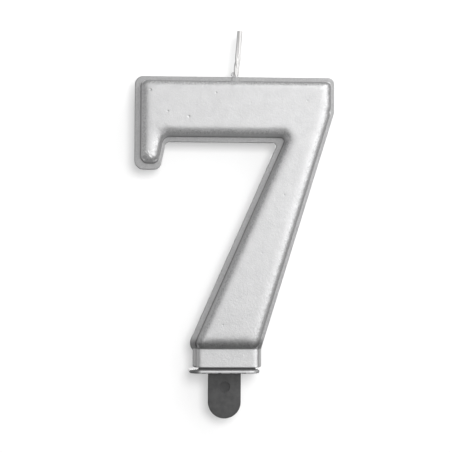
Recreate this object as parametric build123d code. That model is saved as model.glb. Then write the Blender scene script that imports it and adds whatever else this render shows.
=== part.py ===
from build123d import *
import math
import os

# A moulded "7" cake candle: a wax numeral with its wick, standing on a plastic cake pick.
# Frame: +Z up, the numeral reads from -Y, origin at the centre of the pick's seat, where
# its plate rests on the cake. Millimetres.

# Numeral, as seen from the front (X across, Z up)
NUMERAL_LEFT = -22.9
NUMERAL_RIGHT = 27.75
NUMERAL_TOP = 74.7
NUMERAL_FOOT = 4.6          # underside of the slanted stem, sunk in the plinth
ARM_UNDERSIDE = 58.0
SERIF_BOTTOM = 51.0         # the short leg at the arm's left end
SERIF_TOP_X = -14.95
SERIF_BOTTOM_X = -16.45
SHOULDER_Z = 65.85          # where the right edge turns from upright to the stem's slant
STEM_FOOT_LEFT = -10.1
STEM_FOOT_RIGHT = 8.9
ELBOW_X = 13.35

# Section of the numeral: a thin rim on the mould's parting plane (Y = 0) and a raised
# body on each side of it, with a drafted wall and a rounded shoulder.
RIM_WIDTH = 1.2
RIM_HALF_THICKNESS = 0.6
NUMERAL_HALF_THICKNESS = 5.8
SHOULDER_RADIUS = 2.0
DRAFT_ANGLE = 3.0           # degrees
INNER_CORNER_RADIUS = 1.9   # the raised body round the two inside corners

# Plinth under the stem
PLINTH_LEFT = -7.95
PLINTH_RIGHT = 9.35
PLINTH_BOTTOM = 1.35
PLINTH_TOP = 6.6            # hidden in the stem
PLINTH_HALF_THICKNESS = 3.6
PLINTH_RIM_WIDTH = 0.85
PLINTH_EDGE_RADIUS = 1.4

# Pick: blade below the seat, plate, pedestal that the plinth sits on, shank
PLATE_WIDTH = 17.6
PLATE_DEPTH = 9.6
PLATE_THICKNESS = 0.8
PLATE_CORNER_RADIUS = 2.8
PLATE_EDGE_RADIUS = 0.3
PEDESTAL_INSET = 0.7        # how far it stays inside the plinth's raised body, all round
BLADE_WIDTH = 8.25
BLADE_CENTRE = 0.1          # it stands a little to the right of the plate's middle
BLADE_THICKNESS = 1.6
BLADE_LENGTH = 11.55
BLADE_EDGE_RADIUS = 0.25
DIMPLE_RADIUS = 1.4         # shallow moulding dimple in the blade's front
DIMPLE_DEPTH = 0.2
DIMPLE_Z = -3.6
SHANK_WIDTH = 5.0
SHANK_THICKNESS = 1.6
SHANK_TOP = 14.0
SHANK_TIP_RADIUS = 1.2
SOCKET_CLEARANCE = 0.05     # on each side of the shank, and over the pedestal

# Wick
WICK_DIAMETER = 1.45
WICK_CLEARANCE = 0.02
WICK_ROUTE = [              # corners of its route, from the tip down, in the parting plane
    (3.7, 86.5),
    (3.35, 80.4),
    (2.2, 72.4),
    (9.5, 65.3),
    (16.4, 61.8),
    (18.7, 55.6),
    (5.2, 18.3),
]
RUN_SHARE = 0.45            # share of the shorter run that each bend takes up


def rounded_face(corners):
    """Flat face from (x, z, radius) corners, laid in the parting plane, facing -Y."""
    face = make_face(Polyline(*[(x, z) for x, z, _ in corners], close=True))
    for x, z, radius in corners:
        if radius:
            face = fillet(face.vertices().sort_by_distance((x, z))[0], radius)
    return Plane.XZ * face


def numeral_corners(inset=0.0, radii=None):
    """Corners of the 7, clockwise from the top left, moved inwards by inset."""
    outline = [
        (NUMERAL_LEFT, NUMERAL_TOP),
        (NUMERAL_RIGHT, NUMERAL_TOP),
        (NUMERAL_RIGHT, SHOULDER_Z),
        (STEM_FOOT_RIGHT, NUMERAL_FOOT),
        (STEM_FOOT_LEFT, NUMERAL_FOOT),
        (ELBOW_X, ARM_UNDERSIDE),
        (SERIF_TOP_X, ARM_UNDERSIDE),
        (SERIF_BOTTOM_X, SERIF_BOTTOM),
        (NUMERAL_LEFT, SERIF_BOTTOM),
    ]
    count = len(outline)
    corners = []
    for i, (x, z) in enumerate(outline):
        before = Vector(x, z) - Vector(*outline[i - 1])
        after = Vector(*outline[(i + 1) % count]) - Vector(x, z)
        before, after = before.normalized(), after.normalized()
        # The outline runs clockwise, so its inside is to the right of each side.
        inward = (
            Vector(before.Y, -before.X) + Vector(after.Y, -after.X)
        ) / (1 + before.dot(after))
        moved = Vector(x, z) + inward * inset
        corners.append((moved.X, moved.Y, radii[i]))
    return corners


def raised_body(outline, half_thickness, edge_radius):
    """The raised part on both sides of the parting plane, from its outline on that plane."""
    front = extrude(outline, amount=half_thickness, taper=DRAFT_ANGLE)
    face = front.faces().sort_by(Axis.Y)[0]
    front = fillet(face.edges(), edge_radius)
    return front + mirror(front, about=Plane.XZ)


def make_numeral():
    """The 7: its rim and its raised body."""
    rim_radii = [2.1, 1.5, 1.0, 0.6, 2.8, 0.8, 1.2, 1.8, 2.3]
    body_radii = [0, 0, 0, 0, 0, INNER_CORNER_RADIUS, INNER_CORNER_RADIUS, 0, 0]
    rim = extrude(rounded_face(numeral_corners(0, rim_radii)), RIM_HALF_THICKNESS, both=True)
    body = raised_body(
        rounded_face(numeral_corners(RIM_WIDTH, body_radii)),
        NUMERAL_HALF_THICKNESS,
        SHOULDER_RADIUS,
    )
    return rim + body


def box_face(left, right, bottom, top):
    """Rectangle in the parting plane."""
    return rounded_face([(left, top, 0), (right, top, 0), (right, bottom, 0), (left, bottom, 0)])


def make_plinth():
    """The block under the stem: the rim goes on round its two ends."""
    outline = box_face(PLINTH_LEFT, PLINTH_RIGHT, PLINTH_BOTTOM, PLINTH_TOP)
    rim = extrude(outline, RIM_HALF_THICKNESS, both=True)
    left = PLINTH_LEFT + PLINTH_RIM_WIDTH
    right = PLINTH_RIGHT - PLINTH_RIM_WIDTH
    front = extrude(box_face(left, right, PLINTH_BOTTOM, PLINTH_TOP), PLINTH_HALF_THICKNESS)
    face = front.faces().sort_by(Axis.Y)[0]
    ends = [e for e in face.edges() if abs((e % 0.5).Z) > 0.9]
    front = fillet(ends, PLINTH_EDGE_RADIUS)
    return rim + front + mirror(front, about=Plane.XZ)


def make_shank(grow=0.0):
    """The pick's upright tongue or, grown by the clearance, the socket that it fills."""
    half = SHANK_WIDTH / 2 + grow
    top = SHANK_TOP + grow
    tip = SHANK_TIP_RADIUS
    face = rounded_face([(-half, top, tip), (half, top, tip), (half, 0, 0), (-half, 0, 0)])
    return extrude(face, SHANK_THICKNESS / 2 + grow, both=True)


def make_plate():
    """The pick's plate: its underside is the seat on the cake."""
    outline = RectangleRounded(PLATE_WIDTH, PLATE_DEPTH, PLATE_CORNER_RADIUS)
    plate = extrude(outline, PLATE_THICKNESS)
    faces = plate.faces().sort_by(Axis.Z)
    return fillet(faces[0].edges() + faces[-1].edges(), PLATE_EDGE_RADIUS)


def make_pedestal():
    """The low block on the plate that the plinth sits on."""
    left = PLINTH_LEFT + PLINTH_RIM_WIDTH + PEDESTAL_INSET
    right = PLINTH_RIGHT - PLINTH_RIM_WIDTH - PEDESTAL_INSET
    face = box_face(left, right, PLATE_THICKNESS / 2, PLINTH_BOTTOM - SOCKET_CLEARANCE)
    return extrude(face, PLINTH_HALF_THICKNESS - PEDESTAL_INSET, both=True)


def make_blade():
    """The flat blade with a round end that goes into the cake."""
    half = BLADE_WIDTH / 2
    end_centre = half - BLADE_LENGTH
    straight = Pos(BLADE_CENTRE, end_centre / 2) * Rectangle(BLADE_WIDTH, -end_centre)
    outline = Plane.XZ * (straight + Pos(BLADE_CENTRE, end_centre) * Circle(half))
    blade = extrude(outline, BLADE_THICKNESS / 2, both=True)
    faces = blade.faces().sort_by(Axis.Y)
    below_seat = [
        e for e in faces[0].edges() + faces[-1].edges() if (e % 0.5).Z and (e @ 0.5).Z < -0.1
    ]
    blade = fillet(below_seat, BLADE_EDGE_RADIUS)
    dimple_place = Pos(BLADE_CENTRE, -BLADE_THICKNESS / 2, DIMPLE_Z) * Rot(90, 0, 0)
    return blade - dimple_place * Cylinder(DIMPLE_RADIUS, 2 * DIMPLE_DEPTH)


def make_pick():
    """Blade, plate, pedestal and shank, one moulding."""
    return make_plate() + make_pedestal() + make_blade() + make_shank()


def bend_radii():
    """One radius for each inner corner of the wick's route, as large as its runs allow."""
    radii = []
    for before, here, after in zip(WICK_ROUTE, WICK_ROUTE[1:], WICK_ROUTE[2:]):
        run_in = Vector(*here) - Vector(*before)
        run_out = Vector(*after) - Vector(*here)
        half_turn = math.radians(run_in.get_angle(run_out) / 2)
        shorter = min(run_in.length, run_out.length)
        radii.append(RUN_SHARE * shorter / math.tan(half_turn))
    return radii


def wick_tube(diameter):
    """Round tube along the wick's route."""
    flat_path = FilletPolyline(*WICK_ROUTE, radius=bend_radii())
    path = Plane.XZ * flat_path
    section = Plane(path @ 0, z_dir=path % 0) * Circle(diameter / 2)
    return sweep(section, path=path), path.length


def make_wax():
    """Numeral and plinth in one casting, with the wick's channel and the pick's socket."""
    channel, _ = wick_tube(WICK_DIAMETER + 2 * WICK_CLEARANCE)
    return make_numeral() + make_plinth() - channel - make_shank(SOCKET_CLEARANCE)


wick, wick_length = wick_tube(WICK_DIAMETER)
section_times_length = math.pi * WICK_DIAMETER**2 / 4 * wick_length
print("wick bend radii", [round(r, 1) for r in bend_radii()])
print(f"wick length {wick_length:.2f}, volume {wick.volume:.2f}, from section {section_times_length:.2f}")

os.makedirs("parts", exist_ok=True)
export_step(make_wax(), "parts/wax_numeral.step")
export_step(wick, "parts/wick.step")
export_step(make_pick(), "parts/pick.step")
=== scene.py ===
import math

import bpy
import numpy as np
from mathutils import Matrix, Vector, geometry, noise


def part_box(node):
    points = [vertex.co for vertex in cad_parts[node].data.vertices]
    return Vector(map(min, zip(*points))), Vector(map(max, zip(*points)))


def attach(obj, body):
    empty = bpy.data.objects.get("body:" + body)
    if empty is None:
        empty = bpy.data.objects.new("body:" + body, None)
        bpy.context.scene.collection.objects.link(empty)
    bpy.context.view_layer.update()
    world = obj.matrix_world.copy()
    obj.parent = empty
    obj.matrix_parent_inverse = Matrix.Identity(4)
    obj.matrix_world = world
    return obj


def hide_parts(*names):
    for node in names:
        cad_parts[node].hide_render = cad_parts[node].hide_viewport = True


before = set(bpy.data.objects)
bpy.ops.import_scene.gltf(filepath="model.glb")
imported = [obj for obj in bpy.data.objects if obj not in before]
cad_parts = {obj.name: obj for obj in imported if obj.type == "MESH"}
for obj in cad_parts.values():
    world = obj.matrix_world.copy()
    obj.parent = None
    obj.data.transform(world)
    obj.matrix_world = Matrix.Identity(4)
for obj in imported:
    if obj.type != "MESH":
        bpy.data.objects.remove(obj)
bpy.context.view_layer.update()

# A silver numeral candle. X is across, Z is up and the numeral is read from -Y. Metres.
MM = 0.001

# ---- Sizes of the numeral, from the CAD parts' boxes where they have them ------------------
WAX_LOW, WAX_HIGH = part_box("wax_numeral")
LEFT, RIGHT, TOP = WAX_LOW[0], WAX_HIGH[0], WAX_HIGH[2]
HALF_THICKNESS = WAX_HIGH[1]
FOOT_Z = 4.6 * MM
FOOT_LEFT, FOOT_RIGHT = -10.1 * MM, 8.9 * MM
UNDERSIDE_Z = 58.0 * MM
ELBOW_X = 13.35 * MM
SERIF_Z = 51.0 * MM
SERIF_TOP_X, SERIF_FOOT_X = -14.95 * MM, -16.45 * MM
KINK_Z = 65.85 * MM

RIM_HALF = 0.6 * MM
RIM_EDGE = 0.22 * MM            # rounding of the rim's outer edge
CREASE = 0.36 * MM              # rounding where the body rises from the rim
DRAFT = math.radians(3)
SHOULDER_HEIGHT = 2.2 * MM      # the rounded shoulder, measured through the thickness
SHOULDERS = {                   # and across the face, by the side's first corner
    0: 2.5 * MM, 1: 3.0 * MM, 2: 3.5 * MM, 3: 3.75 * MM, 7: 1.6 * MM, 8: 2.75 * MM,
}
BEND_SHOULDER = [               # (x, width) from the serif's right side to the stem's left
    (-17.5 * MM, 4.1 * MM), (-13.5 * MM, 2.4 * MM), (8 * MM, 2.4 * MM), (13 * MM, 2.75 * MM),
]
SHOULDER_POWER = 2.3            # of the shoulder's rounding: 2 is an ellipse
MITRE_SOFTNESS = 0.45           # as a share of the shoulder's width

PLINTH_LEFT, PLINTH_RIGHT = -7.95 * MM, 9.35 * MM
PLINTH_Z = WAX_LOW[2]
PLINTH_TOP = 6.6 * MM           # hidden inside the stem
PLINTH_HALF = 3.6 * MM
PLINTH_RIM_LEFT, PLINTH_RIM_RIGHT = 1.0 * MM, 0.65 * MM
PLINTH_RIM_CORNER = 0.5 * MM
PLINTH_CORNER = 0.2 * MM
PLINTH_SHOULDER = 1.35 * MM     # of its left end, across and through the thickness
PLINTH_SHOULDER_RIGHT = 1.75 * MM
PLINTH_EDGE = 0.12 * MM         # rounding of its foot

# Unevenness: each kind has its own slice of the noise
WAVER = 0.07                    # how much a shoulder's width varies, as a share
WAVER_LENGTH, WAVER_SLICE = 5 * MM, 0
FINE_WAVER = 0.9                # as a share of the coarse one
FINE_WAVER_LENGTH, FINE_WAVER_SLICE = 0.75 * MM, 5
FACE_WAVE, FACE_WAVE_LENGTH, FACE_WAVE_SLICE = 0.03 * MM, 7 * MM, 9

# Meshing
STEP = 0.3 * MM                 # spacing of vertices along an outline
ARC_STEPS = 14                  # segments round each corner
EDGE_STEPS, CREASE_STEPS = 4, 5     # segments over a rounded edge, and in the rim's crease
FLAT_SHARES = (0.34, 0.67, 1.0)     # rows of vertices across the rim and up the wall
SHOULDER_STEPS = 22             # rows of vertices over a shoulder
ROW_CROWDING = 1.6              # how much closer they lie at its foot: 1 is evenly spaced
ROW_SLACK = 0.01 * MM
CLOSEST = 0.09 * MM             # no two face vertices lie nearer than about this
FACE_GRID = 0.7 * MM
SHARP_ANGLE = math.radians(50)  # edges sharper than this are shaded as edges


# ---- Plane outlines: clockwise, as (x, z) --------------------------------------------------
def unit(v):
    return v / np.linalg.norm(v)


def right_of(v):
    """The inward side of an outline that runs clockwise."""
    return np.array([v[1], -v[0]])


def inset_corners(corners, insets):
    """Corners of an outline after the side from corner i to i + 1 moves inwards by insets[i]."""
    moved = []
    for i, here in enumerate(corners):
        before = right_of(unit(here - corners[i - 1]))
        after = right_of(unit(corners[(i + 1) % len(corners)] - here))
        shared = before @ after
        by_before = (insets[i - 1] - insets[i] * shared) / (1 - shared**2)
        by_after = (insets[i] - insets[i - 1] * shared) / (1 - shared**2)
        moved.append(here + before * by_before + after * by_after)
    return np.array(moved)


def corner_arc(before, here, after, radius):
    """Points and inward normals of the arc that rounds one corner."""
    way_in, way_out = unit(here - before), unit(after - here)
    turn = math.atan2(way_in[1] * way_out[0] - way_in[0] * way_out[1], way_in @ way_out)
    side = math.copysign(1, turn)       # 1 at an outer corner, -1 at an inner one
    start = here - way_in * radius * math.tan(abs(turn) / 2)
    centre = start + right_of(way_in) * side * radius
    normals = []
    for k in range(ARC_STEPS + 1):
        cos, sin = math.cos(turn * k / ARC_STEPS), -math.sin(turn * k / ARC_STEPS)
        normals.append(np.array([[cos, -sin], [sin, cos]]) @ right_of(way_in))
    normals = np.array(normals)
    return centre - normals * side * radius, normals


def corner_arcs(corners, radii, first, last):
    """The arcs at an outline's corners, with their normals, from the first corner to the last."""
    count = len(corners)
    return [
        corner_arc(corners[i % count - 1], corners[i % count], corners[(i + 1) % count],
                   radii[i % count])
        for i in range(first, last + 1)
    ]


def side_counts(corners, radii):
    """How many segments the straight stretch of each side gets, from corner i to i + 1."""
    arcs = [arc for arc, _ in corner_arcs(corners, radii, 0, len(corners))]
    return [
        max(1, round(np.linalg.norm(after[0] - arc[-1]) / STEP))
        for arc, after in zip(arcs, arcs[1:])
    ]


def round_outline(corners, radii, counts):
    """Points and inward normals round an outline, with an arc at each corner."""
    count = len(corners)
    arcs = corner_arcs(corners, radii, 0, count - 1)
    points, normals = [], []
    for i, (arc, arc_normals) in enumerate(arcs):
        next_start = arcs[(i + 1) % count][0][0]
        shares = np.arange(1, counts[i])[:, None] / counts[i]
        points += [arc, arc[-1] * (1 - shares) + next_start * shares]
        normals += [arc_normals, np.repeat(arc_normals[-1:], counts[i] - 1, axis=0)]
    return np.vstack(points), np.vstack(normals)


def side_line(corners, radii, first, last):
    """The rounded outline from the middle of one corner's arc to the middle of a later one's."""
    half = ARC_STEPS // 2
    arcs = [arc for arc, _ in corner_arcs(corners, radii, first, last)]
    return np.vstack([arcs[0][half:]] + arcs[1:-1] + [arcs[-1][:half + 1]])


def distance_to_line(points, line):
    """Distance from each point to an open line of straight pieces."""
    nearest = np.full(len(points), np.inf)
    for a, b in zip(line, line[1:]):
        along = np.clip((points - a) @ (b - a) / ((b - a) @ (b - a)), 0, 1)
        nearest = np.minimum(nearest, np.linalg.norm(points - a - np.outer(along, b - a), axis=1))
    return nearest


def inside_outline(points, outline):
    """True for each point inside a closed outline."""
    crossings = np.zeros(len(points), int)
    for a, b in zip(outline, np.roll(outline, -1, axis=0)):
        if a[1] != b[1]:
            spans = (a[1] > points[:, 1]) != (b[1] > points[:, 1])
            x = a[0] + (points[:, 1] - a[1]) / (b[1] - a[1]) * (b[0] - a[0])
            crossings += spans & (points[:, 0] < x)
    return crossings % 2 == 1


def soft_min(a, b, softness):
    """The smaller of two values, rounded over where they are nearly equal."""
    overlap = np.maximum(softness - np.abs(a - b), 0) / softness
    return np.minimum(a, b) - overlap**2 * softness / 4


def hex_grid(low, high, spacing):
    """Points of a triangular grid over a rectangle."""
    rows = []
    for i, z in enumerate(np.arange(low[1], high[1], spacing * math.sqrt(3) / 2)):
        xs = np.arange(low[0] + spacing / 2 * (i % 2), high[0], spacing)
        rows.append(np.stack([xs, np.full(len(xs), z)], axis=1))
    return np.vstack(rows)


def thin_out(points):
    """Points without those that share a small square with an earlier one."""
    _, first = np.unique(np.round(points / CLOSEST).astype(int), axis=0, return_index=True)
    return points[np.sort(first)]


def quarter(steps):
    """Sine and cosine pairs over a quarter turn, from (0, 1) to (1, 0)."""
    turns = np.linspace(0, math.pi / 2, steps + 1)
    return list(zip(np.sin(turns), np.cos(turns)))


# ---- Solid meshes --------------------------------------------------------------------------
def make_object(name, points, faces):
    mesh = bpy.data.meshes.new(name)
    mesh.from_pydata([tuple(p) for p in points], [], [tuple(f) for f in faces])
    mesh.validate()
    obj = bpy.data.objects.new(name, mesh)
    bpy.context.scene.collection.objects.link(obj)
    return obj


def fill(points, edge_count):
    """Triangles over the area inside a closed outline, which is the first edge_count points."""
    loop = [(i, (i + 1) % edge_count) for i in range(edge_count)]
    flat = geometry.delaunay_2d_cdt([Vector(p) for p in points], loop, [], 1, 1e-9)
    origin = flat[3]
    return [tuple(origin[v][0] for v in face) for face in flat[2]]


def two_sided(name, rings, face_points, face_depths):
    """A closed mesh that is the same in front of and behind the parting plane.

    rings are (points, depth) from the parting plane to the face's edge, all with as many
    points, and face_points with face_depths lie inside the last of them.
    """
    n = len(rings[0][0])
    flat = np.vstack([points for points, _ in rings] + [face_points])
    depth = np.concatenate([np.full(n, d) for _, d in rings] + [face_depths])
    front = np.stack([flat[:, 0], -depth, flat[:, 1]], axis=1)
    back = front[n:] * [1, -1, 1]
    around = [(i, (i + 1) % n) for i in range(n)]
    to_last = n * (len(rings) - 1)

    faces = [
        (k * n + i, (k + 1) * n + i, (k + 1) * n + j, k * n + j)
        for k in range(len(rings) - 1)
        for i, j in around
    ]
    faces += [tuple(v + to_last for v in t) for t in fill(flat[to_last:], n)]
    behind = len(front) - n
    faces += [tuple(v if v < n else v + behind for v in reversed(f)) for f in faces]
    return make_object(name, np.vstack([front, back]), faces)


NO_POINTS, NO_DEPTHS = np.zeros((0, 2)), np.zeros(0)


def rounded_edge(points, normals, half, edge):
    """Rings over the rounded edge of a plate that is half thick on this side."""
    return [
        (points + normals * edge * (1 - c), half - edge * (1 - s)) for s, c in quarter(EDGE_STEPS)
    ]


def slab(name, corners, radii, half, edge):
    """A flat plate standing in the parting plane, with rounded edges."""
    corners = np.array(corners)
    points, normals = round_outline(corners, radii, side_counts(corners, radii))
    rings = [(points, 0.0)] + rounded_edge(points, normals, half, edge)
    return two_sided(name, rings, NO_POINTS, NO_DEPTHS)


def box_slab(name, low, high, radii, half, edge):
    """A slab over an upright box, from its low to its high (x, z), with radii clockwise."""
    corners = [(low[0], high[1]), high, (high[0], low[1]), low]
    return slab(name, corners, radii, half, edge)


def shoulder_points(edge, normals, sides):
    """Points inside a face's edge: rows that follow it over the shoulder, then a grid."""
    widest = max(np.max(width) for _, width in sides)
    rows = []
    for inset in widest * (np.arange(1, SHOULDER_STEPS + 1) / SHOULDER_STEPS) ** ROW_CROWDING:
        row = edge + normals * inset
        nearest = np.min([distance_to_line(row, line) for line, _ in sides], axis=0)
        rows.append(row[nearest > inset - ROW_SLACK])
    grid = hex_grid(edge.min(axis=0), edge.max(axis=0), FACE_GRID)
    nearest = np.min([distance_to_line(grid, line) for line, _ in sides], axis=0)
    grid = grid[(nearest > widest + FACE_GRID / 3) & inside_outline(grid, edge)]
    return np.vstack(rows + [grid])


def width_at(points, width):
    """A side's shoulder width at each point: one width, or its (x, width) changes along X."""
    if np.ndim(width) == 0:
        return width
    xs, widths = np.transpose(width)
    return np.interp(points[:, 0], xs, widths)


def shoulder_rise(points, sides):
    """How far up its shoulder each point is, from 0 at the wall to 1 on the face."""
    rise = np.full(len(points), np.inf)
    for line, width in sides:
        share = distance_to_line(points, line) / (width_at(points, width) * waver(points))
        rise = soft_min(rise, share, MITRE_SOFTNESS)
    return (1 - (1 - np.clip(rise, 0, 1)) ** SHOULDER_POWER) ** (1 / SHOULDER_POWER)


def noise_at(points, length, noise_slice):
    """Smooth noise from about -1 to 1, whose waves are about as long as length."""
    return np.array([noise.noise((x / length, noise_slice, z / length)) for x, z in points])


def waver(points):
    """The small unevenness of a hand-finished mould, about 1."""
    coarse = noise_at(points, WAVER_LENGTH, WAVER_SLICE)
    fine = noise_at(points, FINE_WAVER_LENGTH, FINE_WAVER_SLICE)
    return 1 + WAVER * (coarse + fine * FINE_WAVER)


def combine(target, other, operation):
    """Adds other to target, or takes it away, and removes other."""
    modifier = target.modifiers.new(operation, "BOOLEAN")
    modifier.operation = operation
    modifier.object = other
    modifier.solver = "MANIFOLD"
    bpy.context.view_layer.update()
    seen = target.evaluated_get(bpy.context.evaluated_depsgraph_get())
    mesh = bpy.data.meshes.new_from_object(seen)
    target.modifiers.clear()
    target.data = mesh
    bpy.data.objects.remove(other)


# ---- The numeral ---------------------------------------------------------------------------
OUTLINE = np.array([
    (LEFT, TOP),
    (RIGHT, TOP),
    (RIGHT, KINK_Z),
    (FOOT_RIGHT, FOOT_Z),
    (FOOT_LEFT, FOOT_Z),
    (ELBOW_X, UNDERSIDE_Z),
    (SERIF_TOP_X, UNDERSIDE_Z),
    (SERIF_FOOT_X, SERIF_Z),
    (LEFT, SERIF_Z),
])
BEND_FROM, BEND_TO = 4, 7       # the stem's left side, the underside and the serif's right side
RIM_WIDTHS = np.array([1.35, 1.1, 1.0, 1.35, 1.5, 1.5, 0.95, 1.7, 1.65]) * MM
RIM_RADII = np.array([2.1, 1.5, 1.0, 0.6, 2.8, 0.8, 1.2, 1.8, 2.3]) * MM
BODY_RADII = np.array([1.3, 0.6, 1.0, 0.8, 1.4, 1.1, 2.1, 1.5, 1.7]) * MM
INSIDE_CORNERS = np.isin(np.arange(9), (5, 6))

# Bubbles left by casting, as (x, z, radius, depth) on the faces, in millimetres
PITS = [
    (-18.85, 70.5, 0.34, 0.24),
    (-14.55, 65.25, 0.28, 0.16),
    (-9.3, 64.0, 0.36, 0.14),
    (-2.55, 70.0, 0.34, 0.14),
    (-5.8, 71.6, 0.26, 0.05),
    (6.1, 67.6, 0.26, 0.05),
    (20.3, 68.2, 0.26, 0.08),
    (14.6, 44.6, 0.20, 0.12),
    (9.0, 30.1, 0.18, 0.10),
    (-0.6, 12.1, 0.20, 0.10),
]
PIT_RINGS, PIT_SPOKES = (0.0, 0.3, 0.6, 0.9, 1.25), 12      # rings as shares of its radius
PIT_POWER = 1.5                 # of its hollow: 1 is a parabola

# Folds where the wax met itself in the mould, as (x, z) to (x, z), width, height
FOLDS = [
    ((-20.8, 55.7), (-19.6, 54.5), 0.22, 0.10),
    ((-19.9, 54.9), (-18.6, 53.5), 0.20, 0.09),
    ((-19.5, 55.2), (-19.2, 54.6), 0.24, 0.12),
]
FOLD_MARGIN, FOLD_GRID = 0.5 * MM, 0.13 * MM


def pit_points():
    """Rings of vertices round each pit."""
    rings = []
    for x, z, radius, _ in PITS:
        for share in PIT_RINGS:
            turns = np.arange(PIT_SPOKES if share else 1) * math.tau / PIT_SPOKES
            ring = np.stack([np.cos(turns), np.sin(turns)], axis=1) * share * radius * MM
            rings.append(ring + np.array([x, z]) * MM)
    return np.vstack(rings)


def pit_depth(points):
    """How deep each point lies in a pit."""
    deep = np.zeros(len(points))
    for x, z, radius, depth in PITS:
        away = np.linalg.norm(points - np.array([x, z]) * MM, axis=1) / (radius * MM)
        deep = np.maximum(deep, depth * MM * np.clip(1 - away**2, 0, 1) ** PIT_POWER)
    return deep


def fold_points():
    """A fine patch of vertices over the folds."""
    ends = np.array([end for fold in FOLDS for end in fold[:2]]) * MM
    return hex_grid(ends.min(axis=0) - FOLD_MARGIN, ends.max(axis=0) + FOLD_MARGIN, FOLD_GRID)


def fold_height(points):
    """How far each point stands up in a fold."""
    high = np.zeros(len(points))
    for start, end, width, height in FOLDS:
        line = np.array([start, end]) * MM
        away = distance_to_line(points, line) / (width * MM)
        high = np.maximum(high, height * MM * np.exp(-away**2 * 2))
    return high


def numeral_mesh():
    """The 7: its rim, wall, shoulder and face, the same on both sides."""
    counts = side_counts(OUTLINE, RIM_RADII)
    rim, rim_in = round_outline(OUTLINE, RIM_RADII, counts)
    foot, foot_in = round_outline(inset_corners(OUTLINE, RIM_WIDTHS), BODY_RADII, counts)
    wall_top = HALF_THICKNESS - SHOULDER_HEIGHT
    climb = wall_top - RIM_HALF - CREASE
    lean = climb * math.tan(DRAFT)

    rings = [(rim, 0.0)] + rounded_edge(rim, rim_in, RIM_HALF, RIM_EDGE)
    flat_from, flat_to = rim + rim_in * RIM_EDGE, foot - foot_in * CREASE
    for t in FLAT_SHARES:
        rings.append((flat_from * (1 - t) + flat_to * t, RIM_HALF))
    for s, c in quarter(CREASE_STEPS)[1:]:
        rings.append((foot - foot_in * CREASE * (1 - s), RIM_HALF + CREASE * (1 - c)))
    for t in FLAT_SHARES:
        rings.append((foot + foot_in * lean * t, RIM_HALF + CREASE + climb * t))

    corners = inset_corners(OUTLINE, RIM_WIDTHS + lean)
    radii = BODY_RADII + np.where(INSIDE_CORNERS, lean, -lean)
    sides = [(side_line(corners, radii, i, i + 1), width) for i, width in SHOULDERS.items()]
    sides.append((side_line(corners, radii, BEND_FROM, BEND_TO), BEND_SHOULDER))
    rows = shoulder_points(rings[-1][0], foot_in, sides)
    points = thin_out(np.vstack([pit_points(), fold_points(), rows]))
    rise = shoulder_rise(points, sides)
    waves = noise_at(points, FACE_WAVE_LENGTH, FACE_WAVE_SLICE)
    sunk = FACE_WAVE * (1 + waves) * rise + pit_depth(points) - fold_height(points)
    return two_sided("numeral", rings, points, wall_top + SHOULDER_HEIGHT * rise - sunk)


def plinth_corners(left_inset=0.0, right_inset=0.0):
    """The plinth's outline, its two ends moved inwards."""
    left, right = PLINTH_LEFT + left_inset, PLINTH_RIGHT - right_inset
    return np.array([
        (left, PLINTH_TOP), (right, PLINTH_TOP), (right, PLINTH_Z), (left, PLINTH_Z)
    ])


def plinth_block():
    """The raised part of the plinth: rounded ends, and a barely rounded foot."""
    corners, radii = plinth_corners(PLINTH_RIM_LEFT, PLINTH_RIM_RIGHT), [PLINTH_CORNER] * 4
    edge, edge_in = round_outline(corners, radii, side_counts(corners, radii))
    wall_top = PLINTH_HALF - PLINTH_SHOULDER
    widths = [PLINTH_EDGE, PLINTH_SHOULDER_RIGHT, PLINTH_EDGE, PLINTH_SHOULDER]
    sides = [(corners[[i, (i + 1) % 4]], width) for i, width in enumerate(widths)]
    points = thin_out(shoulder_points(edge, edge_in, sides))
    depths = wall_top + PLINTH_SHOULDER * shoulder_rise(points, sides)
    return two_sided("plinth_block", [(edge, 0.0), (edge, wall_top)], points, depths)


# ---- Tubes along a route -------------------------------------------------------------------
CURVE_STEPS = 24                # line pieces to each stretch of a curve, before even spacing


def spline_points(route, spacing):
    """Evenly spaced points on the smooth curve that a route's corners control."""
    curve = bpy.data.curves.new("route", "CURVE")
    curve.dimensions = "3D"
    curve.resolution_u = CURVE_STEPS
    spline = curve.splines.new("NURBS")
    spline.points.add(len(route) - 1)
    for point, (x, z) in zip(spline.points, route):
        point.co = (x * MM, 0, z * MM, 1)
    spline.order_u = 3
    spline.use_endpoint_u = True
    obj = bpy.data.objects.new("route", curve)
    bpy.context.scene.collection.objects.link(obj)
    bpy.context.view_layer.update()
    mesh = bpy.data.meshes.new_from_object(obj)
    line = np.array([tuple(v.co) for v in mesh.vertices])
    bpy.data.objects.remove(obj)
    bpy.data.meshes.remove(mesh)
    length = np.concatenate([[0], np.cumsum(np.linalg.norm(np.diff(line, axis=0), axis=1))])
    at = np.linspace(0, length[-1], round(length[-1] / spacing) + 1)
    return np.stack([np.interp(at, length, line[:, k]) for k in range(3)], axis=1), at


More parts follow.
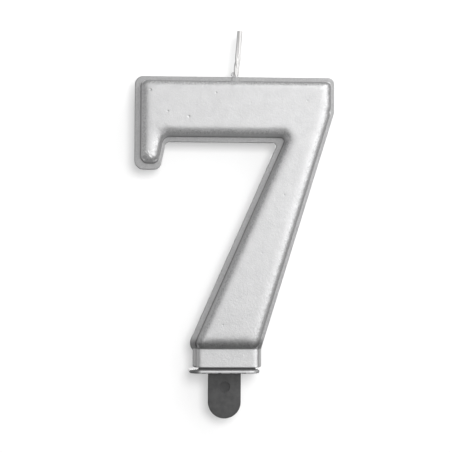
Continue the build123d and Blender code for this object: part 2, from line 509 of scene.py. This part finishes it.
def tube(name, line, along, radius, around):
    """A closed tube whose radius depends on the turn round it and the length along it."""
    n, rings = around, len(line)
    ways = np.gradient(line, axis=0)
    ways /= np.linalg.norm(ways, axis=1)[:, None]
    depth_way = np.array([0, 1.0, 0])
    side_ways = np.cross(ways, depth_way)
    turns = np.arange(n) * math.tau / n
    points = []
    for centre, side, s in zip(line, side_ways, along):
        r = radius(turns, s)
        sideways = np.outer(r * np.cos(turns), side)
        points.append(centre + sideways + np.outer(r * np.sin(turns), depth_way))
    faces = [
        (k * n + (i + 1) % n, k * n + i, (k + 1) * n + i, (k + 1) * n + (i + 1) % n)
        for k in range(rings - 1)
        for i in range(n)
    ]
    points = np.vstack(points + [line[:1], line[-1:]])
    first, last = len(points) - 2, len(points) - 1
    faces += [(first, i, (i + 1) % n) for i in range(n)]
    faces += [(last, (rings - 1) * n + (i + 1) % n, (rings - 1) * n + i) for i in range(n)]
    return make_object(name, points, faces)


# ---- The wick ------------------------------------------------------------------------------
WICK_ROUTE = [                  # corners from the tip down, as (x, z) in the parting plane
    (3.7, 86.5), (3.35, 80.4), (2.2, 72.4), (9.5, 65.3), (16.4, 61.8), (18.7, 55.6), (5.2, 18.3),
]
WICK_RADIUS = 1.45 / 2 * MM
WICK_CLEARANCE = 0.02 * MM
WICK_SPACING, WICK_AROUND = 0.18 * MM, 42       # of its vertices along and round it
CHANNEL_SPACING, CHANNEL_AROUND = 0.4 * MM, 24
STRANDS = 3
STRAND_OUT = 0.44               # a strand's centre from the wick's, as a share of its radius
FREE_LAY, LAID_LAY = 90 * MM, 8 * MM    # length of one twist near the tip, and further down
FREE_END = 6.5 * MM
STRAND_TURN = -1.4              # radians from +X to the strand in front at the tip

# A loose strand end that curls out where the wick leaves the wax
CURL_ROUTE = [(2.6, 75.95), (1.9, 75.9), (1.55, 75.4), (1.85, 74.98), (2.6, 75.0)]
CURL_RADIUS = 0.22 * MM
CURL_SPACING, CURL_AROUND = 0.08 * MM, 16

# The low hump of wax that closes over the wick where it comes out of the rim
COLLAR_X, COLLAR_HALF_WIDTH, COLLAR_HEIGHT = 2.6 * MM, 1.05 * MM, 1.7 * MM
COLLAR_HALF = WICK_RADIUS + 0.08 * MM
COLLAR_CORNER, COLLAR_EDGE = 0.3 * MM, 0.25 * MM


def twist(s):
    """Angle of the strands at length s from the tip: nearly straight at the free end."""
    return STRAND_TURN + math.tau * (min(s, FREE_END) / FREE_LAY + max(s - FREE_END, 0) / LAID_LAY)


def wick_radius(turns, s):
    """The outline of three round strands that lie against each other, at length s."""
    sector = math.tau / STRANDS
    off = (turns - twist(s) + sector / 2) % sector - sector / 2
    centre, strand = STRAND_OUT * WICK_RADIUS, (1 - STRAND_OUT) * WICK_RADIUS
    return centre * np.cos(off) + np.sqrt(strand**2 - (centre * np.sin(off)) ** 2)


def round_tube(name, route, radius, spacing, around):
    """A closed tube of one radius along a route's smooth curve."""
    line, along = spline_points(route, spacing)
    return tube(name, line, along, lambda turns, s: radius + 0 * turns, around)


def wick_mesh():
    """The twisted strands and their loose end."""
    line, along = spline_points(WICK_ROUTE, WICK_SPACING)
    obj = tube("cotton_wick", line, along, wick_radius, WICK_AROUND)
    curl = round_tube("curl", CURL_ROUTE, CURL_RADIUS, CURL_SPACING, CURL_AROUND)
    combine(obj, curl, "UNION")
    return obj


def channel_mesh():
    """What the wick takes out of the wax."""
    radius = WICK_RADIUS + WICK_CLEARANCE
    return round_tube("channel", WICK_ROUTE, radius, CHANNEL_SPACING, CHANNEL_AROUND)


def wick_collar():
    low = (COLLAR_X - COLLAR_HALF_WIDTH, TOP - COLLAR_HEIGHT)
    high = (COLLAR_X + COLLAR_HALF_WIDTH, TOP)
    return box_slab("collar", low, high, [COLLAR_CORNER] * 4, COLLAR_HALF, COLLAR_EDGE)


# ---- The pick ------------------------------------------------------------------------------
PICK_LOW, PICK_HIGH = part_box("pick")
PLATE_HALF_WIDTH, PLATE_HALF_DEPTH = PICK_HIGH[0], PICK_HIGH[1]
PLATE_THICKNESS = 0.8 * MM
PLATE_CORNER, PLATE_EDGE = 2.8 * MM, 0.3 * MM
PICK_HALF_THICKNESS = 0.8 * MM  # of its blade and its shank
BLADE_CENTRE, BLADE_HALF_WIDTH, BLADE_EDGE = 0.1 * MM, 4.125 * MM, 0.25 * MM
SHANK_HALF_WIDTH, SHANK_TIP, SHANK_EDGE = 2.5 * MM, 1.2 * MM, 0.2 * MM
SOCKET_CLEARANCE, SOCKET_EDGE = 0.05 * MM, 0.1 * MM
HIDDEN_CORNER = 0.3 * MM        # of what ends inside the plate
HIDDEN_Z = PLATE_THICKNESS / 2
DIMPLE_Z, DIMPLE_RADIUS, DIMPLE_DEPTH, DIMPLE_EDGE = -3.6 * MM, 1.4 * MM, 0.2 * MM, 0.18 * MM
PEDESTAL_LEFT, PEDESTAL_RIGHT, PEDESTAL_HALF = -6.4 * MM, 7.8 * MM, 2.9 * MM
PEDESTAL_TOP = PLINTH_Z - SOCKET_CLEARANCE
PEDESTAL_CORNER, PEDESTAL_EDGE = 0.2 * MM, 0.1 * MM
FULL_ROUND = 0.999              # of the half width: just short of leaving no straight stretch


def shank(name, grow, edge):
    """The pick's upright tongue or, grown, the socket for it."""
    half, top = SHANK_HALF_WIDTH + grow, PICK_HIGH[2] + grow
    radii = [SHANK_TIP] * 2 + [HIDDEN_CORNER] * 2
    thickness = PICK_HALF_THICKNESS + grow
    return box_slab(name, (-half, HIDDEN_Z), (half, top), radii, thickness, edge)


def blade():
    low = (BLADE_CENTRE - BLADE_HALF_WIDTH, PICK_LOW[2])
    high = (BLADE_CENTRE + BLADE_HALF_WIDTH, HIDDEN_Z)
    radii = [HIDDEN_CORNER] * 2 + [BLADE_HALF_WIDTH * FULL_ROUND] * 2
    return box_slab("blade", low, high, radii, PICK_HALF_THICKNESS, BLADE_EDGE)


def plate():
    """The oblong seat, a slab laid flat."""
    x, y, half = PLATE_HALF_WIDTH, PLATE_HALF_DEPTH, PLATE_THICKNESS / 2
    obj = box_slab("plate", (-x, -y), (x, y), [PLATE_CORNER] * 4, half, PLATE_EDGE)
    for v in obj.data.vertices:
        v.co = (v.co.x, -v.co.z, v.co.y + half)
    return obj


def pedestal():
    """The low block on the plate that the plinth sits on."""
    low, high = (PEDESTAL_LEFT, HIDDEN_Z), (PEDESTAL_RIGHT, PEDESTAL_TOP)
    return box_slab("pedestal", low, high, [PEDESTAL_CORNER] * 4, PEDESTAL_HALF, PEDESTAL_EDGE)


def dimple():
    """What the round moulding mark takes out of the blade's front."""
    r = DIMPLE_RADIUS
    radii = [r * FULL_ROUND] * 4
    obj = box_slab("dimple", (-r, -r), (r, r), radii, DIMPLE_DEPTH, DIMPLE_EDGE)
    for v in obj.data.vertices:
        v.co += Vector((BLADE_CENTRE, -PICK_HALF_THICKNESS, DIMPLE_Z))
    return obj


def pick_mesh():
    obj = plate()
    combine(obj, pedestal(), "UNION")
    combine(obj, blade(), "UNION")
    combine(obj, shank("shank", 0, SHANK_EDGE), "UNION")
    combine(obj, dimple(), "DIFFERENCE")
    return obj


# ---- Materials -----------------------------------------------------------------------------
NOISE_RANGE, NOISE_MIDDLE = (0.3, 0.7), (0.35, 0.65)    # where most of a noise's values lie

# The lacquer: sizes of its spots, and how high they stand
MOTTLE_SIZE = 2.6 * MM
PEEL_SIZE, PEEL_DEPTH = 1.7 * MM, 0.02 * MM
COARSE_SIZE, COARSE_DEPTH = 0.7 * MM, 0.04 * MM
GRAIN_SIZE, GRAIN_DEPTH = 0.32 * MM, 0.037 * MM
FLAKE_SIZE, FLAKE_DEPTH = 0.11 * MM, 0.0022 * MM
FLAKE_WHITE = 0.2               # share of white in the palest flakes
SILVER_DEEP, SILVER_PALE = (0.70, 0.70, 0.705), (0.74, 0.74, 0.745)
SILVER_ROUGHNESS, FLAKE_ROUGHNESS = (0.36, 0.46), (-0.03, 0.03)
SILVER_METALLIC = 0.85

# Where it is darkened, as shares of its colour elsewhere: painted shade on the rim and in its
# crease, painted shadow over the plinth, and a darker left end on the pick's plate
PAINTED_RIM_SHADE = 0.64
FOOT_CREASE, FOOT_SHADE = FOOT_Z + 1.35 * MM, 0.44
FOOT_CREASE_BLUR = 0.05 * MM
FOOT_SHADE_FROM, FOOT_SHADE_TO = FOOT_CREASE + 1.1 * MM, FOOT_CREASE + 3.3 * MM
# the pick's plate gets darker towards its left end
DARK_END_FROM, DARK_END_TO, DARK_END_SHARE = -6.9 * MM, -5.6 * MM, 0.34     # x along the pick's plate

# Its speckles, as shares of its colour
SPECK_SIZE = 0.45 * MM
SHOULDER_GRAIN, WALL_GRAIN = 0.26, 0.08

# Darker than white cotton, because the backdrop's light falls on the wick too
YARN_DEEP, YARN_PALE = (0.42, 0.415, 0.41), (0.53, 0.525, 0.52)
# painted shade for the wick's left side, and the grey of lacquer at its root
YARN_SHADED_SIDE, YARN_ROOT = (0.28, 0.28, 0.285), (0.34, 0.34, 0.345)
YARN_ROUGHNESS = (0.38, 0.6)
FIBRE_SIZE, FIBRE_DEPTH, FIBRE_STRETCH = 0.09 * MM, 0.02 * MM, 0.12
LUMP_SIZE, LUMP_DEPTH = 0.5 * MM, 0.05 * MM
LEFT_SHADE_SHARE, ROOT_SHARE = 0.6, 0.5

PLASTIC_DEEP, PLASTIC_PALE = (0.074, 0.074, 0.075), (0.104, 0.104, 0.105)
PLASTIC_DIMPLE, DIMPLE_SHARE = (0.058, 0.058, 0.059), 0.85
PLASTIC_ROUGHNESS = (0.38, 0.54)
CLOUD_SIZE, CLOUD_DEPTH = 1.6 * MM, 0.04 * MM
FINE_SIZE, FINE_DEPTH = 0.3 * MM, 0.02 * MM

BACKDROP_WHITE = (0.42, 0.42, 0.42, 1)
GLOW_NEAR, GLOW_FAR = 0.385, 1.1        # the backdrop's own light behind the candle and beyond
GLOW_NEAR_TO, GLOW_FAR_FROM = 0.085, 0.15


def add(tree, kind, inputs, **settings):
    """A shader node: each input is a value, or another node's output to link."""
    node = tree.nodes.new(kind)
    for name, value in settings.items():
        setattr(node, name, value)
    for name, value in inputs.items():
        if isinstance(value, bpy.types.NodeSocket):
            tree.links.new(value, node.inputs[name])
        else:
            node.inputs[name].default_value = value
    return node


def new_material(name):
    """A material with only a Principled shader, its node tree and its object coordinates."""
    material = bpy.data.materials.new(name)
    material.use_nodes = True
    tree = material.node_tree
    place = add(tree, "ShaderNodeTexCoord", {}).outputs["Object"]
    return material, tree, tree.nodes["Principled BSDF"], place


def speckle(tree, place, size, detail=2.0, roughness=0.5):
    """Noise from 0 to 1 whose spots are about as large as size."""
    inputs = {"Vector": place, "Scale": 1 / size, "Detail": detail, "Roughness": roughness}
    return add(tree, "ShaderNodeTexNoise", inputs).outputs["Fac"]


def spread(tree, value, low, high, to_low, to_high, smooth=False):
    """Value stretched from the range low..high on to to_low..to_high, and held there."""
    inputs = {0: value, 1: low, 2: high, 3: to_low, 4: to_high}
    kind = "SMOOTHSTEP" if smooth else "LINEAR"
    return add(tree, "ShaderNodeMapRange", inputs, interpolation_type=kind).outputs[0]


def maths(tree, operation, *values):
    return add(tree, "ShaderNodeMath", dict(enumerate(values)), operation=operation).outputs[0]


def component(tree, vector, axis):
    return add(tree, "ShaderNodeSeparateXYZ", {0: vector}).outputs[axis]


def vector_maths(tree, operation, inputs, output=0):
    return add(tree, "ShaderNodeVectorMath", inputs, operation=operation).outputs[output]


def mix_colour(tree, share, a, b):
    """Colour a where share is 0 and b where it is 1."""
    node = add(tree, "ShaderNodeMix", {0: share}, data_type="RGBA")
    for name, value in ((6, a), (7, b)):
        if isinstance(value, bpy.types.NodeSocket):
            tree.links.new(value, node.inputs[name])
        else:
            node.inputs[name].default_value = (*value, 1)
    return node.outputs[2]


def bumps(tree, layers):
    """Bump normals from (height, depth) layers, the coarsest first."""
    normal = None
    for height, depth in layers:
        inputs = {"Height": height, "Distance": depth, "Strength": 1.0}
        if normal:
            inputs["Normal"] = normal
        normal = add(tree, "ShaderNodeBump", inputs).outputs["Normal"]
    return normal


def silver_finish(tree, place):
    """Colour, roughness and normal of the satin silver lacquer."""
    mottle = speckle(tree, place, MOTTLE_SIZE)
    grain = speckle(tree, place, GRAIN_SIZE, 3.0, 0.6)
    flakes = add(tree, "ShaderNodeTexVoronoi", {"Vector": place, "Scale": 1 / FLAKE_SIZE})
    flake = add(tree, "ShaderNodeSeparateColor", {"Color": flakes.outputs["Color"]}).outputs[0]
    mottled = spread(tree, mottle, *NOISE_MIDDLE, 0, 1)
    tone = mix_colour(tree, mottled, SILVER_DEEP, SILVER_PALE)
    tone = mix_colour(tree, spread(tree, flake, 0, 1, 0, FLAKE_WHITE), tone, (1, 1, 1))
    shine = spread(tree, grain, *NOISE_RANGE, *SILVER_ROUGHNESS)
    shine = maths(tree, "ADD", shine, spread(tree, flake, 0, 1, *FLAKE_ROUGHNESS))
    peel = speckle(tree, place, PEEL_SIZE)
    coarse = speckle(tree, place, COARSE_SIZE)
    layers = [
        (peel, PEEL_DEPTH), (coarse, COARSE_DEPTH), (grain, GRAIN_DEPTH), (flake, FLAKE_DEPTH),
    ]
    return tone, shine, bumps(tree, layers)


def foot_shade(tree, height):
    """Darkening low on the stem's foot, in place of shadow over the plinth: 1 elsewhere."""
    start, end = FOOT_CREASE - FOOT_CREASE_BLUR, FOOT_CREASE + FOOT_CREASE_BLUR
    below = spread(tree, height, start, end, 1, FOOT_SHADE)
    above = spread(tree, height, FOOT_SHADE_FROM, FOOT_SHADE_TO, FOOT_SHADE, 1, True)
    return maths(tree, "MAXIMUM", below, above)


def painted_rim_shade(tree, depth):
    """Painted shade on the rim's flat and in the crease where the body rises from it, but none on
    the rim's rounded outer edge: 1 elsewhere.
    """
    edge = spread(tree, depth, RIM_HALF - 0.15 * MM, RIM_HALF - 0.03 * MM, 1, PAINTED_RIM_SHADE, True)
    body = spread(tree, depth, RIM_HALF + 0.25 * MM, RIM_HALF + 0.65 * MM, PAINTED_RIM_SHADE, 1, True)
    return maths(tree, "MAXIMUM", edge, body)


def shoulder_grain(tree, place, height, depth):
    """Speckles on the numeral's walls and, more so, its shoulders: 1 elsewhere."""
    specks = spread(tree, speckle(tree, place, SPECK_SIZE, 3.0, 0.7), *NOISE_RANGE, -1, 1)
    start, end = HALF_THICKNESS - 2.2 * MM, HALF_THICKNESS - 0.8 * MM
    wall = spread(tree, depth, start, end, WALL_GRAIN, SHOULDER_GRAIN)
    start, end = HALF_THICKNESS - 0.45 * MM, HALF_THICKNESS - 0.1 * MM
    face = spread(tree, depth, start, end, SHOULDER_GRAIN, 0, True)
    strength = maths(tree, "MINIMUM", wall, face)
    strength = maths(tree, "MULTIPLY", strength, maths(tree, "GREATER_THAN", height, FOOT_CREASE))
    return maths(tree, "ADD", maths(tree, "MULTIPLY", specks, strength), 1)


def silver_wax():
    """Paraffin wax under satin silver lacquer."""
    material, tree, shader, place = new_material("silver_lacquered_wax")
    height = component(tree, place, "Z")
    depth = maths(tree, "ABSOLUTE", component(tree, place, "Y"))
    tone, shine, normal = silver_finish(tree, place)
    # painted shade on the rim and its crease, and painted shadow low on the stem's foot
    shade = maths(tree, "MULTIPLY", painted_rim_shade(tree, depth), foot_shade(tree, height))
    shade = maths(tree, "MULTIPLY", shade, shoulder_grain(tree, place, height, depth))
    tone = vector_maths(tree, "SCALE", {0: tone, "Scale": shade})
    tree.links.new(tone, shader.inputs["Base Color"])
    tree.links.new(shine, shader.inputs["Roughness"])
    tree.links.new(normal, shader.inputs["Normal"])
    shader.inputs["Metallic"].default_value = SILVER_METALLIC
    return material


def painted_left_shade(tree, place):
    """Painted shade on the wick's left side, away from the light."""
    height = component(tree, place, "Z")
    middle = spread(tree, height, 74 * MM, 86.5 * MM, 2.5 * MM, 3.75 * MM)
    aside = maths(tree, "SUBTRACT", component(tree, place, "X"), middle)
    return spread(tree, aside, -0.45 * MM, -0.05 * MM, LEFT_SHADE_SHARE, 0, True)


def waxed_cotton():
    """White cotton yarn stiffened with wax, greyed by lacquer where it leaves the numeral, with
    painted shade on its left side.
    """
    material, tree, shader, place = new_material("waxed_cotton")
    scale = (1, 1, FIBRE_STRETCH)
    along = add(tree, "ShaderNodeMapping", {"Vector": place, "Scale": scale}).outputs[0]
    fibres = speckle(tree, along, FIBRE_SIZE, 3.0, 0.6)
    lumps = speckle(tree, place, LUMP_SIZE)
    ragged = spread(tree, lumps, *NOISE_RANGE, -0.5 * MM, 0.5 * MM)
    ragged = maths(tree, "ADD", component(tree, place, "Z"), ragged)
    greyed = spread(tree, ragged, TOP + 0.1 * MM, TOP + 0.8 * MM, ROOT_SHARE, 0, True)
    tone = mix_colour(tree, spread(tree, fibres, *NOISE_RANGE, 0, 1), YARN_DEEP, YARN_PALE)
    tone = mix_colour(tree, painted_left_shade(tree, place), tone, YARN_SHADED_SIDE)
    tone = mix_colour(tree, greyed, tone, YARN_ROOT)
    tree.links.new(tone, shader.inputs["Base Color"])
    rough = spread(tree, lumps, *NOISE_RANGE, *YARN_ROUGHNESS)
    tree.links.new(rough, shader.inputs["Roughness"])
    normal = bumps(tree, [(lumps, LUMP_DEPTH), (fibres, FIBRE_DEPTH)])
    tree.links.new(normal, shader.inputs["Normal"])
    shader.inputs["Subsurface Weight"].default_value = 0.1
    shader.inputs["Subsurface Radius"].default_value = (1, 1, 1)
    shader.inputs["Subsurface Scale"].default_value = 0.4 * MM
    return material


def dimple_mask(tree, place):
    """The darker disc of the blade's dimple: 0 elsewhere."""
    middle = (BLADE_CENTRE, 0, DIMPLE_Z)
    offset = vector_maths(tree, "SUBTRACT", {0: place, 1: middle})
    flat = vector_maths(tree, "MULTIPLY", {0: offset, 1: (1, 0, 1)})
    away = vector_maths(tree, "LENGTH", {0: flat}, "Value")
    start, end = DIMPLE_RADIUS - 0.25 * MM, DIMPLE_RADIUS + 0.05 * MM
    disc = spread(tree, away, start, end, DIMPLE_SHARE, 0, True)
    in_front = maths(tree, "LESS_THAN", component(tree, place, "Y"), 0)
    return maths(tree, "MULTIPLY", disc, in_front)


def plate_mask(tree, place):
    """1 on the plate, which took the lacquer, with a ragged lower limit: 0 elsewhere."""
    height = component(tree, place, "Z")
    edge = speckle(tree, place, 1.1 * MM, 4.0, 0.65)
    edge = spread(tree, edge, *NOISE_RANGE, -0.25 * MM, 0.25 * MM)
    over = spread(tree, maths(tree, "ADD", height, edge), -0.05 * MM, 0.12 * MM, 0, 1, True)
    start, end = PLATE_THICKNESS - 0.1 * MM, PLATE_THICKNESS + 0.1 * MM
    return maths(tree, "MULTIPLY", over, spread(tree, height, start, end, 1, 0, True))


def pick_plastic():
    """Dark moulded plastic whose plate took the numeral's lacquer, darker at its left end."""
    material, tree, shader, place = new_material("dark_plastic_part_lacquered")
    tone, shine, normal = silver_finish(tree, place)
    cloud = speckle(tree, place, CLOUD_SIZE, 4.0, 0.6)
    fine = speckle(tree, place, FINE_SIZE, 3.0, 0.6)
    lacquer = plate_mask(tree, place)
    across = component(tree, place, "X")
    darker_end = spread(tree, across, DARK_END_FROM, DARK_END_TO, DARK_END_SHARE, 1, True)
    tone = vector_maths(tree, "SCALE", {0: tone, "Scale": darker_end})
    clouded = spread(tree, cloud, *NOISE_MIDDLE, 0, 1)
    plain = mix_colour(tree, clouded, PLASTIC_DEEP, PLASTIC_PALE)
    plain = mix_colour(tree, dimple_mask(tree, place), plain, PLASTIC_DIMPLE)
    tree.links.new(mix_colour(tree, lacquer, plain, tone), shader.inputs["Base Color"])
    rough = spread(tree, fine, *NOISE_RANGE, *PLASTIC_ROUGHNESS)
    rough = add(tree, "ShaderNodeMix", {0: lacquer, 2: rough, 3: shine}).outputs[0]
    tree.links.new(rough, shader.inputs["Roughness"])
    metallic = maths(tree, "MULTIPLY", lacquer, SILVER_METALLIC)
    tree.links.new(metallic, shader.inputs["Metallic"])
    moulded = bumps(tree, [(cloud, CLOUD_DEPTH), (fine, FINE_DEPTH)])
    blend = add(tree, "ShaderNodeMix", {0: lacquer, 4: moulded, 5: normal}, data_type="VECTOR")
    tree.links.new(blend.outputs[1], shader.inputs["Normal"])
    return material


def pale_surface():
    """Matt white that glows a little where it is seen from the front; nothing from behind."""
    material, tree, shader, place = new_material("pale_surface")
    shader.inputs["Base Color"].default_value = BACKDROP_WHITE
    shader.inputs["Emission Color"].default_value = (1, 1, 1, 1)
    away = vector_maths(tree, "LENGTH", {0: place}, "Value")
    glow = spread(tree, away, GLOW_NEAR_TO, GLOW_FAR_FROM, GLOW_NEAR, GLOW_FAR, True)
    tree.links.new(glow, shader.inputs["Emission Strength"])
    material.cycles.emission_sampling = "NONE"
    shader.inputs["Roughness"].default_value = 1
    shader.inputs["Specular IOR Level"].default_value = 0
    clear = add(tree, "ShaderNodeBsdfTransparent", {}).outputs[0]
    behind = add(tree, "ShaderNodeNewGeometry", {}).outputs["Backfacing"]
    shown = {0: behind, 1: shader.outputs[0], 2: clear}
    shown = add(tree, "ShaderNodeMixShader", shown).outputs[0]
    tree.links.new(shown, tree.nodes["Material Output"].inputs["Surface"])
    return material


def finish_mesh(obj, name, body, node, material):
    """Names a piece, smooths and dresses it, hides its CAD node's part and ties it to its body."""
    obj.name = name
    for face in obj.data.polygons:
        face.use_smooth = True
        face.material_index = 0
    obj.data.set_sharp_from_angle(angle=SHARP_ANGLE)
    obj.data.materials.clear()
    obj.data.materials.append(material)
    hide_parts(node)
    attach(obj, body)


numeral = numeral_mesh()
radii = [PLINTH_RIM_CORNER] * 4
combine(numeral, slab("plinth_rim", plinth_corners(), radii, RIM_HALF, RIM_EDGE), "UNION")
combine(numeral, plinth_block(), "UNION")
combine(numeral, wick_collar(), "UNION")
combine(numeral, shank("socket", SOCKET_CLEARANCE, SOCKET_EDGE), "DIFFERENCE")
combine(numeral, channel_mesh(), "DIFFERENCE")
finish_mesh(numeral, "silver_numeral", "candle", "wax_numeral", silver_wax())

wick = wick_mesh()
finish_mesh(wick, "cotton_wick", "candle", "wick", waxed_cotton())

pick = pick_mesh()
finish_mesh(pick, "cake_pick", "pick", "pick", pick_plastic())


# ---- Camera, light and backdrop ------------------------------------------------------------
EYE = Vector((-16.76, -330, 26)) * MM
AIM = Vector((0.35, 0, 36.9)) * MM
FRAME_WIDTH = 114.4 * MM        # what the view takes in at the numeral's parting plane
ROLL = math.radians(0.26)
SENSOR_WIDTH = 36               # in millimetres, as the camera has it
CLIP_START = 0.01

LIT_CENTRE = Vector((0, 0, 38)) * MM
LIGHT_DISTANCE = 0.5
LIGHTS = {                      # degrees to the right of the reader and up, side, watts
    "front": (0, 0, 0.3, 0.185),
    "front_right": (28, 0, 0.3, 0.30),
    "right": (52, 0, 0.3, 0.365),
    "upper_right": (40, 40, 0.3, 0.64),
    "lower_right": (40, -40, 0.3, 0.11),
    "front_left": (-28, 0, 0.3, 0.15),
    "far_left": (-85, 0, 0.3, 0.06),
    "behind_left": (-130, 0, 0.35, 0.105),
    "behind_right": (110, 5, 0.35, 0.05),
    "upper_left": (-40, 40, 0.3, 0.16),
    "upper_front": (0, 32, 0.3, 0.17),
    "upper": (0, 62, 0.3, 0.04),
    "top": (0, 92, 0.3, 0.09),
    "behind": (180, 8, 0.3, 1.1),
}
# This one lights only the backdrop, where the candle keeps its shadow, and the wick
BACKDROP_KEY = (8, 10, 0.2, 2.4)
WORLD_LIGHT = 0.243

BACKDROP_SIZE, BACKDROP_GAP = 1.2, 0.2 * MM
SURROUND_RADIUS = 3


def add_camera():
    camera = bpy.data.objects.new("camera", bpy.data.cameras.new("camera"))
    bpy.context.scene.collection.objects.link(camera)
    bpy.context.scene.camera = camera
    turn = (AIM - EYE).to_track_quat("-Z", "Y").to_matrix().to_4x4()
    camera.matrix_world = Matrix.Translation(EYE) @ turn @ Matrix.Rotation(ROLL, 4, "Z")
    camera.data.sensor_width = SENSOR_WIDTH
    camera.data.lens = SENSOR_WIDTH * (AIM - EYE).length / FRAME_WIDTH
    camera.data.clip_start = CLIP_START


def add_light(name, turn, rise, side, watts):
    """A soft square light that looks at the candle."""
    turn, rise = math.radians(turn), math.radians(rise)
    level = math.cos(rise)
    way = Vector((math.sin(turn) * level, -math.cos(turn) * level, math.sin(rise)))
    light = bpy.data.objects.new(name, bpy.data.lights.new(name, "AREA"))
    bpy.context.scene.collection.objects.link(light)
    light.data.size = side
    light.data.energy = watts
    light.location = LIT_CENTRE + way * LIGHT_DISTANCE
    light.rotation_euler = (-way).to_track_quat("-Z", "Y").to_euler()
    light.visible_camera = False
    return light


def add_world(strength):
    world = bpy.data.worlds.new("world")
    bpy.context.scene.world = world
    world.use_nodes = True
    background = world.node_tree.nodes["Background"]
    background.inputs["Color"].default_value = (1, 1, 1, 1)
    background.inputs["Strength"].default_value = strength


def hide_from_light(obj):
    """Leaves an object to be seen by the camera alone, without a shadow or a reflection."""
    obj.visible_diffuse = False
    obj.visible_glossy = False
    obj.visible_transmission = False
    obj.visible_shadow = False


def add_backdrop():
    """A pale surface close behind the candle, seen from its front side only."""
    place = (0, HALF_THICKNESS + BACKDROP_GAP, 0)
    upright = (math.pi / 2, 0, 0)
    bpy.ops.mesh.primitive_plane_add(size=BACKDROP_SIZE, location=place, rotation=upright)
    backdrop = bpy.context.object
    backdrop.name = "backdrop"
    backdrop.data.materials.append(pale_surface())
    hide_from_light(backdrop)
    lit = bpy.data.collections.new("lit_by_backdrop_key")
    lit.objects.link(backdrop)
    lit.objects.link(wick)
    add_light("backdrop_key", *BACKDROP_KEY).light_linking.receiver_collection = lit


def add_surround():
    """A pale surround that only the camera sees, for views from the sides and from behind."""
    bpy.ops.mesh.primitive_ico_sphere_add(subdivisions=4, radius=SURROUND_RADIUS)
    surround = bpy.context.object
    surround.name = "surround"
    material, tree, shader, _ = new_material("pale_surround")
    glow = add(tree, "ShaderNodeEmission", {"Color": (1, 1, 1, 1), "Strength": 1.0})
    tree.links.new(glow.outputs[0], tree.nodes["Material Output"].inputs["Surface"])
    tree.nodes.remove(shader)
    material.cycles.emission_sampling = "NONE"
    surround.data.materials.append(material)
    hide_from_light(surround)


add_camera()
for name, light in LIGHTS.items():
    add_light(name, *light)
add_world(WORLD_LIGHT)
add_backdrop()
add_surround()
bpy.context.scene.view_settings.view_transform = "Standard"
